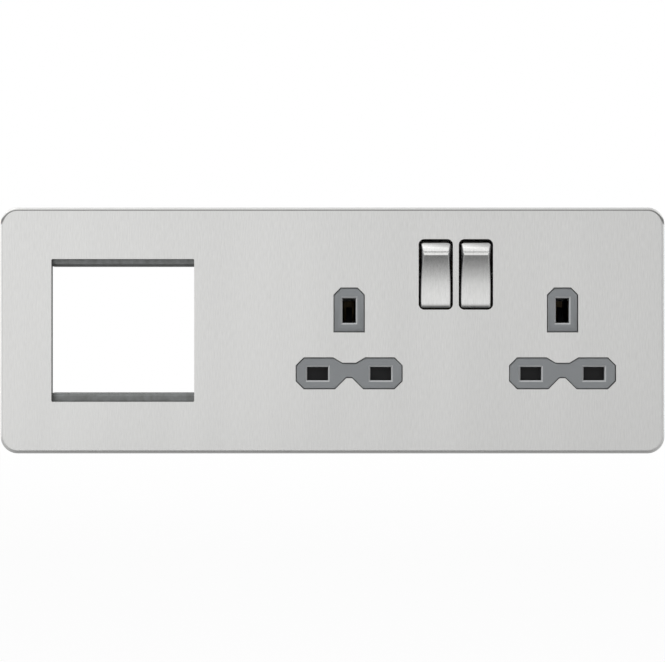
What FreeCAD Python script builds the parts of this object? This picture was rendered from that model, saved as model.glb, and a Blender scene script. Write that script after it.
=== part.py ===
import FreeCAD, Part
import math
import os
import Sketcher

# Flat-plate wall accessory: a two-module aperture on the left and a twin switched socket on the right.
# +X is right, +Y goes into the wall, +Z is up; the origin is the plate's centre on the wall plane.

V = FreeCAD.Vector
BEVEL = 2 - math.sqrt(2)
doc = FreeCAD.newDocument("twin_socket")
sheet = doc.addObject("Spreadsheet::Sheet", "Dims")


class Size:
    """A driving size or arithmetic on sizes: its expression text and its number now."""

    def __init__(self, text, now):
        self.text = text
        self.now = now

    def _with(self, other, sign, now):
        return Size(f"({self.text} {sign} {size(other).text})", now)

    def __add__(self, other):
        return self._with(other, "+", self.now + size(other).now)

    def __sub__(self, other):
        return self._with(other, "-", self.now - size(other).now)

    def __mul__(self, other):
        return self._with(other, "*", self.now * size(other).now)

    def __truediv__(self, other):
        return self._with(other, "/", self.now / size(other).now)

    def __radd__(self, other):
        return size(other) + self

    def __rsub__(self, other):
        return size(other) - self

    def __rmul__(self, other):
        return size(other) * self

    def __neg__(self):
        return size(0) - self


def size(value):
    return value if isinstance(value, Size) else Size(repr(float(value)), float(value))


class Sizes:
    pass


D = Sizes()

SIZES = {
    # front plate
    "plate_w": 233.5, "plate_h": 86.5, "plate_depth": 5.0, "sheet_t": 1.0, "rim_lift": 0.3,
    "corner_rad": 6.0, "edge_rad": 1.2, "nib_w": 6.0, "nib_out": 0.1, "nib_back": 1.0, "nib_tall": 0.4,
    "nib_pitch": 150.0,
    # clip frame under the plate
    "frame_fit": 0.15, "frame_seat": 0.05, "head_room": 4.0, "frame_mod_gap": 0.15,
    # steel mounting yoke
    "yoke_inset": 2.75, "yoke_t": 1.5, "yoke_corner": 4.0, "flange_depth": 7.5,
    "flange_t": 1.2, "bend_rad": 1.1, "slot_rad": 1.95, "slot_len": 6.0, "screw_single": 60.3,
    "screw_twin": 120.6,
    # two-module aperture
    "mod_edge": 43.05, "mod_w": 50.2, "mod_h": 50.2, "lip_top": 2.5, "lip_bottom": 3.1, "mod_corner": 0.5,
    # socket pair
    "pair_edge": 73.4, "pair_pitch": 75.0, "pin_z": -15.2, "pin_half": 11.1, "earth_rise": 22.2,
    "ln_slot_w": 7.4, "ln_slot_h": 4.75, "e_slot_w": 4.7, "e_slot_h": 8.75, "slot_bevel": 0.5,
    # raised faces of the moulding
    "boss_gap": 0.3, "boss_sink": 0.3, "e_boss_w": 10.4, "e_boss_up": 7.8, "e_boss_down": 7.4,
    "e_boss_cut": 2.35, "b_boss_half": 18.5, "b_boss_up": 5.45, "b_boss_down": 5.2, "b_boss_cut": 2.65,
    "waist_top_w": 4.8, "waist_top_in": 3.2, "waist_top_d": 1.9, "waist_low_w": 2.1, "waist_low_d": 3.9,
    # moulding and cover
    "end_room": 1.0, "hous_top": 34.0, "hous_low": 30.0, "notch_d": 3.4, "notch_half": 7.0,
    "wall": 1.8, "over_x": 2.0, "over_z": 4.0, "lip_front": 3.3, "floor_back": 1.1, "join_y": 8.0,
    "yoke_fit": 0.3, "back_y": 21.6, "cover_floor": 2.0, "shell_corner": 2.0,
    # rockers
    "rock_pitch": 14.1, "aper_w": 12.05, "aper_z": 19.7, "aper_h": 24.8, "aper_rad": 2.0,
    "well_half": 6.3, "well_half_z": 12.7, "well_wall": 1.5, "well_front": 3.9, "well_back": 7.0,
    "pivot_y": -1.5, "trunnion_rad": 1.2, "trunnion_fit": 0.05, "trunnion_reach": 0.65, "rock_tilt": 7.0,
    "cap_half_w": 5.35, "cap_half_z": 11.55, "cap_ridge": 4.9, "cap_foot": 4.0, "cap_dish": 0.6,
    "cap_back": 2.2,
    "cap_wall": 0.6, "nose_len": 4.2, "nose_fall": 2.0, "nose_wall": 1.7, "cap_flank": 0.75,
    "flank_root": 0.3, "cap_corner": 1.3, "cap_fit": 0.05, "cheek_in": 0.15,
    "skirt_gap": 0.02, "skirt_t": 1.6,
    "hub_half": 2.0, "tube_half": 1.9,
    "tube_end": 8.0, "plunger_half": 1.1, "plunger_fit": 0.05, "plunger_tip": 12.38, "plunger_root": 3.0,
    "pole_x": 3.0,
    # shutters
    "shut_front": -0.8, "shut_t": 1.9, "shut_half": 15.2, "shut_up": 3.6, "shut_down": 3.6,
    "fork_in": 2.55, "fork_out": 4.2, "fork_top": 13.5, "ramp_w": 2.0, "ramp_low": 2.2, "ramp_rise": 6.0,
    "ramp_y": 6.2, "shut_travel": 6.0, "spring_rad": 1.6, "spring_wire": 0.25, "spring_turns": 4.0,
    "spring_steps": 8.0,
    "spring_gap": 0.02, "spring_solid": 2.3, "guide_w": 1.2, "guide_gap": 0.2, "guide_deep": 2.4,
    # contacts
    "see_y": 11.8, "see_ratio": 1.25, "see_t": 0.8, "see_half": 8.5, "see_w": 3.0, "bead_rad": 0.8,
    "bead_fit": 0.06,
    "tip_z": 7.5, "tip_rad": 1.3, "tip_t": 0.6, "strip_t": 0.8, "fixed_y": 13.8, "live_y": 16.8,
    "lane_low": 25.5, "lane_high": 29.0, "jaw_w": 6.0, "jaw_t": 0.7, "jaw_open": 1.9, "jaw_flare": 1.2,
    "jaw_front": 5.5, "bar_y": 15.0, "bar_t": 1.0, "earth_y": 18.4, "e_jaw_front": 9.0, "e_jaw_h": 7.0,
    "post_y": 12.2, "post_half": 1.6, "n_bar_low": 21.9, "n_bar_high": 24.9, "l_bar_low": 13.7,
    "l_bar_high": 17.3, "leg_w": 3.5, "earth_lane": 3.0,
    # terminals
    "term_top": -12.0, "term_low": -26.0, "term_w": 7.0, "term_front": 11.5, "wire_half": 1.8,
    "wire_y": 14.6, "wire_deep": 12.0, "line_term": 14.1, "earth_term": 4.6, "clamp_z": -19.0,
    "clamp_rad": 1.7, "clamp_out": 0.8, "clamp_nose": 2.1, "drive_w": 0.6,
    "drive_d": 0.7, "clamp_gap": 0.05, "mouth_side": 1.2,
    "bay_gap": 0.2,
    # fasteners of the housing
    "post_x": 19.15, "post_up": 14.0, "post_down": -8.0, "post_rad": 2.5, "cs_rad": 1.2, "cs_head": 2.3,
    "cs_head_t": 1.5, "cs_bite": 5.0, "peg_x": 40.0, "peg_half": 1.1, "peg_root": 0.5, "peg_sink": 0.1,
    "peg_fit": 0.05, "head_gap": 0.2, "head_sink": 0.3, "driver_room": 0.5, "rib_gap": 1.0, "rib_foot": 6.0,
    "earth_rib": 2.0, "rib_side": 0.6, "ledge_more": 1.0, "jaw_mouth": 2.2, "ramp_foot": 3.0, "ramp_nose": 1.0,
    "earth_foot": 4.0,
    # how far joined masses run into each other, and cuts run past the face they leave
    "weld": 0.1, "overrun": 1.0,
}

for row, (alias, number) in enumerate(SIZES.items(), 1):
    sheet.set(f"A{row}", alias)
    sheet.set(f"B{row}", str(number))
    sheet.setAlias(f"B{row}", alias)
    setattr(D, alias, Size(f"Dims.{alias}", number))
doc.recompute()

# places that follow the plate's ends and the sockets
D.mod_x = D.mod_edge - D.plate_w / 2
D.pair_x = D.plate_w / 2 - D.pair_edge
D.hous_w = D.pair_pitch + 2 * (D.b_boss_half + D.end_room)

# derived planes, all measured along +Y from the wall plane
FACE = -D.plate_depth
SHEET_BACK = FACE + D.sheet_t
YOKE_FRONT = -D.yoke_t
LIP_FRONT = -D.lip_front
FLOOR_BACK = -D.floor_back
SOCKETS = {"left": D.pair_x - D.pair_pitch / 2, "right": D.pair_x + D.pair_pitch / 2}
ROCKERS = {"left": D.pair_x - D.rock_pitch / 2, "right": D.pair_x + D.rock_pitch / 2}
OUTWARD = {"left": -1, "right": 1}
EARTH_Z = D.pin_z + D.earth_rise
FRONT_NORMAL = {"XZ": -1, "YZ": 1, "XY": 1}
nodes = {}


# one closed outline of straight lines, every corner held by two sizes
def add_loop(sketch, loop):
    first = sketch.GeometryCount
    count = len(loop)
    points = [V(size(u).now, size(v).now, 0) for u, v in loop]
    for i in range(count):
        sketch.addGeometry(Part.LineSegment(points[i], points[(i + 1) % count]), False)
    for i in range(count):
        following = first + (i + 1) % count
        sketch.addConstraint(Sketcher.Constraint("Coincident", first + i, 2, following, 1))
    for i, (u, v) in enumerate(loop):
        hold(sketch, "DistanceX", first + i, 1, u)
        hold(sketch, "DistanceY", first + i, 1, v)


def hold(sketch, kind, geometry, point, value):
    value = size(value)
    index = sketch.addConstraint(Sketcher.Constraint(kind, -1, 1, geometry, point, value.now))
    sketch.setExpression(f"Constraints[{index}]", value.text)


# a rectangle whose corners are quarter circles
def add_round(sketch, ends, rad):
    x0, x1, z0, z1 = [size(e) for e in ends]
    rad = size(rad)
    first = sketch.GeometryCount
    runs = [
        ((x0 + rad, z0), (x1 - rad, z0)), ((x1, z0 + rad), (x1, z1 - rad)),
        ((x1 - rad, z1), (x0 + rad, z1)), ((x0, z1 - rad), (x0, z0 + rad)),
    ]
    for a, b in runs:
        sketch.addGeometry(Part.LineSegment(V(a[0].now, a[1].now, 0), V(b[0].now, b[1].now, 0)), False)
    middles = [(x1 - rad, z0 + rad), (x1 - rad, z1 - rad), (x0 + rad, z1 - rad), (x0 + rad, z0 + rad)]
    for i, (u, v) in enumerate(middles):
        ring = Part.Circle(V(u.now, v.now, 0), V(0, 0, 1), rad.now)
        start = math.pi / 2 * (i - 1)
        sketch.addGeometry(Part.ArcOfCircle(ring, start, start + math.pi / 2), False)
    for i, (a, b) in enumerate(runs):
        for point, (u, v) in ((1, a), (2, b)):
            hold(sketch, "DistanceX", first + i, point, u)
            hold(sketch, "DistanceY", first + i, point, v)
        arc = first + 4 + i
        sketch.addConstraint(Sketcher.Constraint("Coincident", arc, 1, first + i, 2))
        sketch.addConstraint(Sketcher.Constraint("Coincident", arc, 2, first + (i + 1) % 4, 1))
        limit = sketch.addConstraint(Sketcher.Constraint("Radius", arc, rad.now))
        sketch.setExpression(f"Constraints[{limit}]", rad.text)


def add_circle(sketch, circle):
    u, v, rad = circle
    index = sketch.addGeometry(Part.Circle(V(size(u).now, size(v).now, 0), V(0, 0, 1), size(rad).now), False)
    hold(sketch, "DistanceX", index, 3, u)
    hold(sketch, "DistanceY", index, 3, v)
    limit = sketch.addConstraint(Sketcher.Constraint("Radius", index, size(rad).now))
    sketch.setExpression(f"Constraints[{limit}]", size(rad).text)


def new_body(label):
    body = doc.addObject("PartDesign::Body", label)
    body.Label = label
    return body


def new_sketch(body, name, plane, at):
    sketch = body.newObject("Sketcher::SketchObject", name)
    origin = [o for o in body.Origin.OriginFeatures if getattr(o, "Role", "") == f"{plane}_Plane"][0]
    sketch.AttachmentSupport = [(origin, "")]
    sketch.MapMode = "FlatFace"
    sketch.setExpression("AttachmentOffset.Base.z", size(FRONT_NORMAL[plane] * size(at)).text)
    return sketch


# material between two planes, or taken away between them
def prism(body, name, plane, low, high, loops=(), circles=(), rounds=(), take=False):
    low, high = size(low), size(high)
    start_low = (FRONT_NORMAL[plane] > 0) != take
    sketch = new_sketch(body, f"{name}_sketch", plane, low if start_low else high)
    for loop in loops:
        add_loop(sketch, loop)
    for circle in circles:
        add_circle(sketch, circle)
    for ends, rad in rounds:
        add_round(sketch, ends, rad)
    before = body.Shape.Volume if take else 0
    feature = body.newObject("PartDesign::Pocket" if take else "PartDesign::Pad", name)
    feature.Profile = sketch
    feature.setExpression("Length", (high - low).text)
    sketch.Visibility = False
    doc.recompute()
    if take and not body.Shape.Volume < before - 1e-4:
        raise RuntimeError(f"{name} takes nothing away")
    return feature


def rect(x0, x1, z0, z1):
    return [(x0, z0), (x1, z0), (x1, z1), (x0, z1)]


def centred(cx, cz, half_x, half_z):
    return (cx - half_x, cx + half_x, cz - half_z, cz + half_z)


def edge_names(shape, wanted):
    return [f"Edge{i}" for i, edge in enumerate(shape.Edges, 1) if wanted(edge)]


def soften(body, name, wanted, radius, kind="Fillet"):
    base = body.Tip
    feature = body.newObject(f"PartDesign::{kind}", name)
    feature.Base = (base, edge_names(base.Shape, wanted))
    feature.setExpression("Radius" if kind == "Fillet" else "Size", size(radius).text)
    doc.recompute()
    return feature


# a straight edge along one axis that starts or ends near one of the given corners
def upright(corners, axis="y", span=None):
    keep = {"x": (1, 2), "y": (0, 2), "z": (0, 1)}[axis]
    along = {"x": 0, "y": 1, "z": 2}[axis]
    spots = [(size(a).now, size(b).now) for a, b in corners]

    def wanted(edge):
        if edge.Curve.TypeId != "Part::GeomLine":
            return False
        a, b = edge.Vertexes[0].Point, edge.Vertexes[-1].Point
        if abs(abs(a[along] - b[along]) - edge.Length) > 1e-6:
            return False
        if span and not (size(span[0]).now - 1e-3 < (a[along] + b[along]) / 2 < size(span[1]).now + 1e-3):
            return False
        return any(abs(a[keep[0]] - s[0]) < 1e-3 and abs(a[keep[1]] - s[1]) < 1e-3 for s in spots)

    return wanted


def box(name, x0, x1, y0, y1, z0, z1):
    solid = doc.addObject("Part::Box", name)
    for prop, low, high in (("Length", x0, x1), ("Width", y0, y1), ("Height", z0, z1)):
        solid.setExpression(prop, (size(high) - low).text)
    for axis, low in zip("xyz", (x0, y0, z0)):
        solid.setExpression(f"Placement.Base.{axis}", size(low).text)
    return solid


TURN = {
    "x": FreeCAD.Rotation(V(0, 1, 0), 90),
    "y": FreeCAD.Rotation(V(1, 0, 0), -90),
    "z": FreeCAD.Rotation(V(1, 0, 0), 0),
}


def place(solid, x, y, z, axis):
    solid.Placement = FreeCAD.Placement(V(0, 0, 0), TURN[axis])
    for key, value in zip("xyz", (x, y, z)):
        solid.setExpression(f"Placement.Base.{key}", size(value).text)
    return solid


def rod(name, rad, length, x, y, z, axis="y"):
    solid = doc.addObject("Part::Cylinder", name)
    solid.setExpression("Radius", size(rad).text)
    solid.setExpression("Height", size(length).text)
    return place(solid, x, y, z, axis)


def cone(name, rad_near, rad_far, length, x, y, z, axis="y"):
    solid = doc.addObject("Part::Cone", name)
    solid.setExpression("Radius1", size(rad_near).text)
    solid.setExpression("Radius2", size(rad_far).text)
    solid.setExpression("Height", size(length).text)
    return place(solid, x, y, z, axis)


def fuse(name, parts):
    joined = doc.addObject("Part::MultiFuse", name)
    joined.Shapes = parts
    joined.Refine = True
    return joined


def cut(name, base, tools):
    result = doc.addObject("Part::Cut", name)
    result.Base = base
    result.Tool = tools[0] if len(tools) == 1 else fuse(f"{name}_tools", tools)
    return result


# separate solids of one kind kept together
def group(name, solids):
    bundle = doc.addObject("Part::Compound", name)
    bundle.Links = solids
    return bundle


def keep(label, made):
    made.Label = label
    nodes[label] = made


# outlines seen from the front, as (x, z) corners

def mod_opening(grow=0):
    return centred(D.mod_x, size(0), D.mod_w / 2 + grow, D.mod_h / 2 + grow)


def earth_boss(cx, grow=0):
    half, top, low = D.e_boss_w / 2 + grow, EARTH_Z + D.e_boss_up + grow, EARTH_Z - D.e_boss_down - grow
    nip = D.e_boss_cut + BEVEL * size(grow)
    return [
        (cx - half, low), (cx + half, low), (cx + half, top - nip),
        (cx + half - nip, top), (cx - half + nip, top), (cx - half, top - nip),
    ]


# the bone-shaped raised face round the two lower slots, waisted above and below
def bone_boss(cx, grow=0):
    half, top, low = D.b_boss_half + grow, D.pin_z + D.b_boss_up + grow, D.pin_z - D.b_boss_down - grow
    nip = D.b_boss_cut + BEVEL * size(grow)
    upper, lower = D.waist_top_w / 2, D.waist_low_w / 2
    right = [
        (lower, low + D.waist_low_d), (lower + D.waist_low_d, low), (half - nip, low), (half, low + nip),
        (half, top - nip), (half - nip, top), (upper + D.waist_top_in, top), (upper, top - D.waist_top_d),
    ]
    return [(cx + u, v) for u, v in right] + [(cx - u, v) for u, v in reversed(right)]


# the housing's outline, notched at both ends to clear the wall box's screw lugs
def housing(grow=0, over_x=0, over_z=0):
    half = D.hous_w / 2 + grow + over_x
    top, low = D.hous_top + grow + over_z, -D.hous_low - grow - over_z
    inner, bite = half - D.notch_d, D.notch_half - grow - over_x
    x = D.pair_x
    return [
        (x - half, low), (x + half, low), (x + half, -bite), (x + inner, -bite), (x + inner, bite),
        (x + half, bite), (x + half, top), (x - half, top), (x - half, bite), (x - inner, bite),
        (x - inner, -bite), (x - half, -bite),
    ]


def fixing_points():
    centres = [(D.mod_x, D.screw_single), (D.pair_x, D.screw_twin)]
    return [x + side * pitch / 2 for x, pitch in centres for side in (-1, 1)]


def outer_corners(loop):
    xs, zs = [size(p[0]) for p in loop], [size(p[1]) for p in loop]
    ends = (min(xs, key=lambda n: n.now), max(xs, key=lambda n: n.now))
    return [(x, z) for x in ends for z in (min(zs, key=lambda n: n.now), max(zs, key=lambda n: n.now))]


# pressed metal plate: drawn rim, rolled front edge, and cut-outs that follow what shows through them
def front_plate():
    body = new_body("front_plate")
    hw, hh = D.plate_w / 2, D.plate_h / 2
    rim_back = -D.rim_lift
    prism(body, "plate_blank", "XZ", FACE, rim_back, rounds=[(centred(0, 0, hw, hh), D.corner_rad)])
    front = FACE.now
    soften(body, "plate_roll", lambda e: e.BoundBox.YMax < front + 1e-4, D.edge_rad)
    inside = centred(0, 0, hw - D.sheet_t, hh - D.sheet_t)
    hollow = [(inside, D.corner_rad - D.sheet_t)]
    prism(body, "plate_hollow", "XZ", SHEET_BACK, rim_back + D.overrun, rounds=hollow, take=True)
    raised = []
    for cx in SOCKETS.values():
        raised += [earth_boss(cx, D.boss_gap), bone_boss(cx, D.boss_gap)]
    windows = [(mod_opening(), D.mod_corner)]
    for rx in ROCKERS.values():
        windows.append((centred(rx, D.aper_z, D.aper_w / 2, D.aper_h / 2), D.aper_rad))
    ahead, behind = FACE - D.overrun, SHEET_BACK + D.overrun
    prism(body, "plate_cutouts", "XZ", ahead, behind, raised, rounds=windows, take=True)
    # small pressed nibs inside the rim catch behind the clip frame's edge
    for name, z0, z1 in (("upper", hh - D.sheet_t - D.nib_out, hh - D.sheet_t / 2),
                         ("lower", -hh + D.sheet_t / 2, -hh + D.sheet_t + D.nib_out)):
        nibs = [rect(x - D.nib_w / 2, x + D.nib_w / 2, z0, z1) for x in (-D.nib_pitch / 2, D.nib_pitch / 2)]
        prism(body, f"nibs_{name}", "XZ", -D.nib_back - D.nib_tall, -D.nib_back, nibs)
    keep("front_plate", body)


# black moulded frame between plate and yoke, open at the aperture, the sockets and the screw heads
def clip_frame():
    body = new_body("clip_frame")
    hw, hh = D.plate_w / 2 - D.sheet_t - D.frame_fit, D.plate_h / 2 - D.sheet_t - D.frame_fit
    front, back = SHEET_BACK + D.frame_seat, YOKE_FRONT
    corner = D.corner_rad - D.sheet_t - D.frame_fit
    prism(body, "frame_blank", "XZ", front, back, rounds=[(centred(0, 0, hw, hh), corner)])
    window = housing(D.yoke_fit, D.over_x, D.over_z)
    opening = [(mod_opening(D.frame_mod_gap), D.mod_corner)]
    ahead, behind = front - D.overrun, back + D.overrun
    prism(body, "frame_windows", "XZ", ahead, behind, [window], rounds=opening, take=True)
    for index, x in enumerate(fixing_points()):
        room = [rect(x - D.head_room, x + D.head_room, -D.head_room, D.head_room)]
        prism(body, f"head_room_{index}", "XZ", ahead, behind, room, take=True)
    keep("clip_frame", body)


# pressed steel yoke: slotted fixing holes, the module opening's turned-back lips, the housing's opening
def mounting_yoke():
    body = new_body("mounting_yoke")
    hw, hh = D.plate_w / 2 - D.yoke_inset, D.plate_h / 2 - D.yoke_inset
    outline = (centred(0, 0, hw, hh), D.yoke_corner)
    prism(body, "yoke_blank", "XZ", YOKE_FRONT, 0, rounds=[outline])
    left, right = D.mod_x - D.mod_w / 2, D.mod_x + D.mod_w / 2
    top, low = D.mod_h / 2 - D.lip_top, -D.mod_h / 2 + D.lip_bottom
    lips = (("upper", top, top + D.flange_t), ("lower", low - D.flange_t, low))
    for name, z0, z1 in lips:
        prism(body, f"lip_{name}", "YZ", left, right, [rect(YOKE_FRONT, D.flange_depth, z0, z1)])
    holes = [rect(left, right, low, top), housing(D.yoke_fit)]
    prism(body, "yoke_openings", "XZ", YOKE_FRONT - D.overrun, D.flange_depth + D.overrun, holes, take=True)
    bends = [(YOKE_FRONT, low), (YOKE_FRONT, top)]
    soften(body, "lip_bends", upright(bends, "x"), D.bend_rad)
    half = D.slot_len / 2 - D.slot_rad
    for side in (-1, 1):
        ends = [(x + side * half, 0, D.slot_rad) for x in fixing_points()]
        prism(body, f"slot_ends_{side + 1}", "XZ", YOKE_FRONT - D.overrun, D.overrun, circles=ends, take=True)
    middles = [rect(x - half, x + half, -D.slot_rad, D.slot_rad) for x in fixing_points()]
    prism(body, "slot_middles", "XZ", YOKE_FRONT - D.overrun, D.overrun, middles, take=True)
    # plain holes for the moulding's staked pegs
    half = D.peg_half + D.peg_fit
    pegs = [rect(x - half, x + half, z - half, z + half) for x, z in peg_points()]
    prism(body, "peg_holes", "XZ", YOKE_FRONT - D.overrun, D.overrun, pegs, take=True)
    keep("mounting_yoke", body)


def peg_points():
    low = -(D.hous_low + D.over_z / 2 + D.yoke_fit / 2)
    top = D.hous_top + D.over_z / 2 + D.yoke_fit / 2
    return [(D.pair_x + side * D.peg_x, z) for side in (-1, 1) for z in (low, top)]


# where the foot of a shutter's spring stands: the coil closed up, below the shutter at full travel
def ledge_top():
    return D.pin_z - D.shut_down - D.shut_travel - D.spring_solid


def post_points():
    return [(D.pair_x + side * D.post_x, z) for side in (-1, 1) for z in (D.post_up, D.post_down)]


# a strip of wall standing on both sides of each shutter, from the floor inwards
def shutter_guides(cx):
    near = D.shut_half + D.guide_gap
    low, high = D.pin_z - D.shut_down, D.pin_z + D.shut_up
    low = low - D.shut_travel
    return [rect(cx + s * near, cx + s * (near + D.guide_w), low, high) if s > 0 else
            rect(cx - near - D.guide_w, cx - near, low, high) for s in (-1, 1)]


# one-piece insulating moulding: lip on the yoke, raised slot faces, rocker wells and walls into the box
def socket_moulding():
    body = new_body("socket_moulding")
    boss_front = FACE + D.boss_sink
    prism(body, "shell", "XZ", FLOOR_BACK - D.weld, D.join_y, [housing()])
    soften(body, "shell_corners", upright(outer_corners(housing())), D.shell_corner)
    prism(body, "hollow", "XZ", FLOOR_BACK - D.weld, D.join_y + D.overrun, [housing(-D.wall)], take=True)
    prism(body, "lip", "XZ", LIP_FRONT, YOKE_FRONT, [housing(0, D.over_x, D.over_z)])
    prism(body, "floor", "XZ", YOKE_FRONT - D.weld, FLOOR_BACK, [housing()])
    bosses = [shape(cx) for cx in SOCKETS.values() for shape in (earth_boss, bone_boss)]
    prism(body, "bosses", "XZ", boss_front, LIP_FRONT, bosses)
    wall_x = D.rock_pitch / 2 + D.well_half + D.well_wall
    high = D.well_half_z + D.well_wall
    wells = rect(D.pair_x - wall_x, D.pair_x + wall_x, D.aper_z - high, D.aper_z + high)
    prism(body, "well_walls", "XZ", -D.well_front, D.well_back, [wells])
    holes = [
        rect(rx - D.well_half, rx + D.well_half, D.aper_z - D.well_half_z, D.aper_z + D.well_half_z)
        for rx in ROCKERS.values()
    ]
    prism(body, "wells", "XZ", -D.well_front - D.overrun, D.well_back + D.overrun, holes, take=True)
    bearing = (D.pivot_y, D.aper_z, D.trunnion_rad + D.trunnion_fit)
    ends = (D.pair_x - wall_x - D.overrun, D.pair_x + wall_x + D.overrun)
    prism(body, "bearings", "YZ", *ends, circles=[bearing], take=True)
    for side, cx in SOCKETS.items():
        root, deep = FLOOR_BACK - D.weld, FLOOR_BACK + D.guide_deep
        prism(body, f"guides_{side}", "XZ", root, deep, shutter_guides(cx))
        ledge = rect(cx - D.spring_rad * 2, cx + D.spring_rad * 2, -D.hous_low + D.wall - D.weld, ledge_top())
        prism(body, f"ledge_{side}", "XZ", root, deep + D.ledge_more, [ledge])
        half, tall = D.e_slot_w / 2, D.e_slot_h / 2
        slots = [rect(cx - half, cx + half, EARTH_Z - tall, EARTH_Z + tall)]
        for sx in (cx - D.pin_half, cx + D.pin_half):
            half, tall = D.ln_slot_w / 2, D.ln_slot_h / 2
            slots.append(rect(sx - half, sx + half, D.pin_z - tall, D.pin_z + tall))
        prism(body, f"slots_{side}", "XZ", boss_front - D.overrun, FLOOR_BACK + D.weld, slots, take=True)
        rims = [corner for slot in slots for corner in slot]
        soften(body, f"slot_bevels_{side}", on_plane_between(rims, boss_front), D.slot_bevel, "Chamfer")
    half = D.post_rad
    posts = [rect(x - half, x + half, z - half, z + half) for x, z in post_points()]
    prism(body, "posts", "XZ", FLOOR_BACK - D.weld, D.join_y, posts)
    pilots = [(x, z, D.cs_rad + D.peg_fit) for x, z in post_points()]
    bottom = D.join_y - D.cs_bite - D.driver_room
    prism(body, "pilots", "XZ", bottom, D.join_y + D.overrun, circles=pilots, take=True)
    # pegs through the yoke, staked flush with its back
    half = D.peg_half
    pegs = [rect(x - half, x + half, z - half, z + half) for x, z in peg_points()]
    prism(body, "pegs", "XZ", LIP_FRONT + D.peg_root, -D.peg_sink, pegs)
    keep("socket_moulding", body)


# a straight edge on one front plane whose two ends are both listed corners
def on_plane_between(corners, plane):
    spots = [(size(a).now, size(b).now) for a, b in corners]
    level = size(plane).now

    def near(point):
        return any(abs(point.x - s[0]) < 1e-3 and abs(point.z - s[1]) < 1e-3 for s in spots)

    def wanted(edge):
        ends = [v.Point for v in edge.Vertexes]
        return len(ends) == 2 and all(abs(p.y - level) < 1e-4 and near(p) for p in ends)

    return wanted


COVER_IN = D.back_y - D.cover_floor
TERMINALS = {
    "neutral": D.pair_x - D.line_term, "earth_a": D.pair_x - D.earth_term,
    "earth_b": D.pair_x + D.earth_term, "live": D.pair_x + D.line_term,
}


# pale rear cover: closes the contact chamber, carries the strips, and is recessed round the terminals
def rear_cover():
    body = new_body("rear_cover")
    prism(body, "cover_block", "XZ", D.join_y, D.back_y, [housing()])
    soften(body, "cover_corners", upright(outer_corners(housing())), D.shell_corner)
    prism(body, "cover_hollow", "XZ", D.join_y - D.overrun, COVER_IN, [housing(-D.wall)], take=True)
    half = D.post_rad
    posts = [rect(x - half, x + half, z - half, z + half) for x, z in post_points()]
    prism(body, "cover_posts", "XZ", D.join_y, COVER_IN + D.weld, posts)
    for name, y, ribs in cover_ribs():
        prism(body, f"ribs_{name}", "XZ", y, COVER_IN + D.weld, ribs)
    left = TERMINALS["neutral"] - D.term_w / 2 - D.mouth_side
    right = TERMINALS["live"] + D.term_w / 2 + D.mouth_side
    bay_top = D.term_top + D.bay_gap
    # walls of the terminal bay, then the bay itself, open at its lower side for the wires
    walls = rect(left - D.wall, right + D.wall, -D.hous_low + D.weld, bay_top + D.wall)
    prism(body, "bay_walls", "XZ", D.term_front - D.wall, COVER_IN + D.weld, [walls])
    inside = rect(left, right, -D.hous_low - D.overrun, bay_top)
    prism(body, "bay", "XZ", D.term_front, COVER_IN, [inside], take=True)
    half, z0, z1 = D.leg_w / 2 + D.bay_gap, bay_top - D.overrun, bay_top + D.wall + D.overrun
    slots = [rect(x - half, x + half, z0, z1) for x in (N_LEG, L_LEG)]
    prism(body, "leg_slots", "XZ", D.bar_y - D.bay_gap, COVER_IN, slots, take=True)
    reach = D.earth_term + D.term_w / 2 + D.bay_gap
    slot = rect(D.pair_x - reach, D.pair_x + reach, z0, z1)
    prism(body, "earth_slot", "XZ", D.earth_y - D.bay_gap, COVER_IN, [slot], take=True)
    holes = [(x, z, D.cs_rad + D.head_gap) for x, z in post_points()]
    prism(body, "screw_holes", "XZ", D.join_y - D.overrun, D.back_y + D.overrun, circles=holes, take=True)
    half = D.cs_head + D.head_gap
    seats = [rect(x - half, x + half, z - half, z + half) for x, z in post_points()]
    seat_y = D.back_y - D.cs_head_t - D.head_sink
    prism(body, "screw_seats", "XZ", seat_y, D.back_y + D.overrun, seats, take=True)
    half = D.clamp_rad + D.driver_room
    clamps = [rect(x - half, x + half, D.clamp_z - half, D.clamp_z + half) for x in TERMINALS.values()]
    prism(body, "clamp_holes", "XZ", COVER_IN - D.overrun, D.back_y + D.overrun, clamps, take=True)
    keep("rear_cover", body)


# low ribs of the cover that stand under each strip
def cover_ribs():
    half, clear = D.jaw_w / 2 - D.rib_gap, D.earth_lane + D.rib_side
    spans = [(D.pin_z + D.rib_foot, EARTH_Z - clear), (EARTH_Z + clear, D.lane_low - D.rib_gap)]
    columns = {"neutral": [], "live": []}
    for cx in SOCKETS.values():
        for pole, x in (("neutral", cx - D.pin_half), ("live", cx + D.pin_half)):
            columns[pole] += [rect(x - half, x + half, z0, z1) for z0, z1 in spans]
    thin = D.leg_w / 2 - D.rib_side
    bars = [
        rect(x - thin, x + thin, EARTH_Z + clear, top - D.rib_side)
        for x, top in ((N_LEG, D.n_bar_low), (L_LEG, D.l_bar_high))
    ]
    tall = D.earth_lane
    wide = D.earth_rib
    earths = [rect(cx - wide, cx + wide, EARTH_Z - tall, EARTH_Z + tall) for cx in SOCKETS.values()]
    return [
        ("neutral", D.fixed_y + D.strip_t, columns["neutral"]),
        ("live", D.live_y + D.strip_t, columns["live"]),
        ("supply", D.bar_y + D.bar_t, bars),
        ("earth", D.earth_y + D.strip_t, earths),
    ]


N_LEG = D.pair_x - D.line_term
L_LEG = D.pair_x + D.line_term


def pole_x(side, pole):
    outer = OUTWARD[side] * (-1 if pole == "live" else 1)
    return ROCKERS[side] + outer * D.pole_x


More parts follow.
